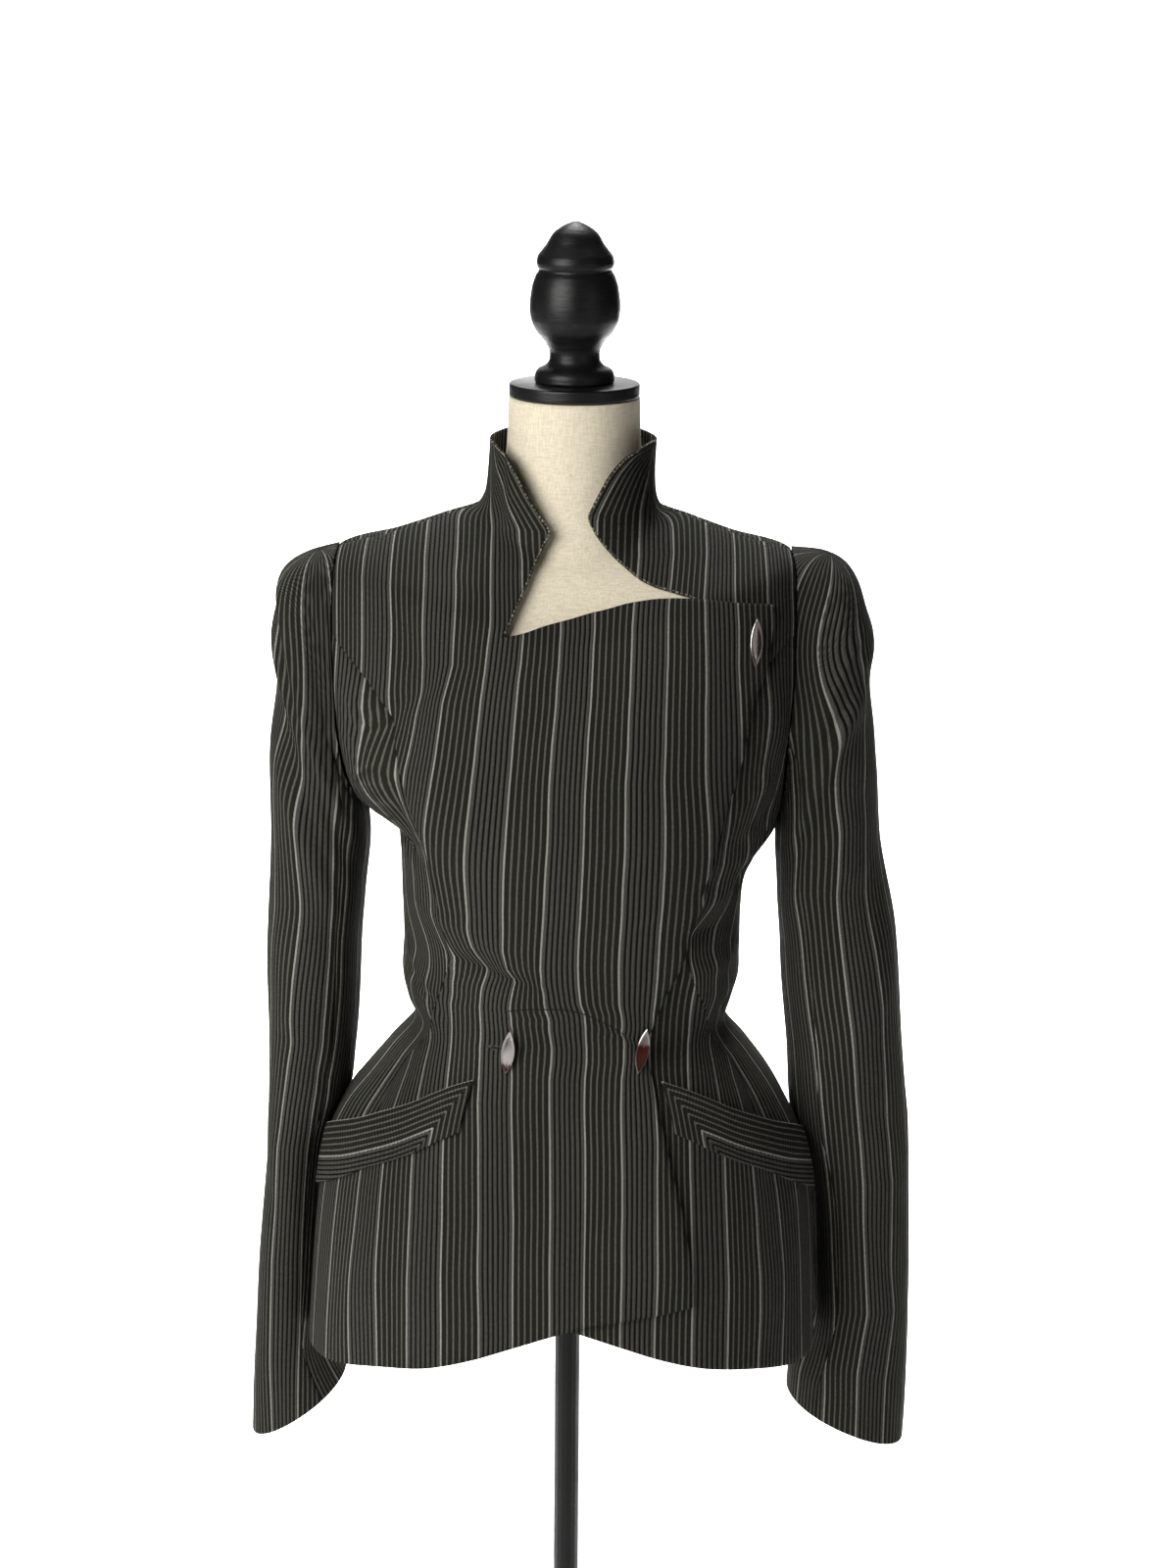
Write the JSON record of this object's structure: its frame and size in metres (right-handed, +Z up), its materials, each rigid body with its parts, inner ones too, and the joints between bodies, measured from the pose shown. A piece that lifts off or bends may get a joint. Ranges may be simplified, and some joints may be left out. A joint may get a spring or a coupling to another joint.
{
  "type": "blazer on dress form",
  "caption": "Fitted striped blazer with a crossed front, cut-in-one stand collar, slanted pocket welts and long sleeves, resting on a limbless dress form on a pole with a round base.",
  "frame": {"origin": "centre of the dress form's round base on the floor, on the pole's axis", "axes": "+Z up along the pole, +X towards the wearer's left sleeve, -Y the way the front faces"},
  "size_m": [0.5028, 0.33, 1.61],
  "materials": {
    "striped_wool": "ribbed striped wool",
    "button_metal": "polished",
    "linen": "cream linen",
    "black_wood": "satin black paint",
    "black_iron": "satin black"
  },
  "bodies": {
    "root": {"front_right": "striped_wool", "front_left": "striped_wool", "side_front_right": "striped_wool", "side_front_left": "striped_wool", "back_right": "striped_wool", "back_left": "striped_wool", "side_back_right": "striped_wool", "side_back_left": "striped_wool", "collar_back": "striped_wool", "upper_sleeve_right": "striped_wool", "upper_sleeve_left": "striped_wool", "under_sleeve_right": "striped_wool", "under_sleeve_left": "striped_wool", "pocket_welt_right": "striped_wool", "pocket_welt_left": "striped_wool", "button_chest": "button_metal", "button_waist_right": "button_metal", "button_waist_left": "button_metal", "form_torso": "linen", "form_neck_disc": "black_wood", "form_finial": "black_wood", "form_pole": "black_iron", "form_base": "black_iron"}
  },
  "joints": []
}
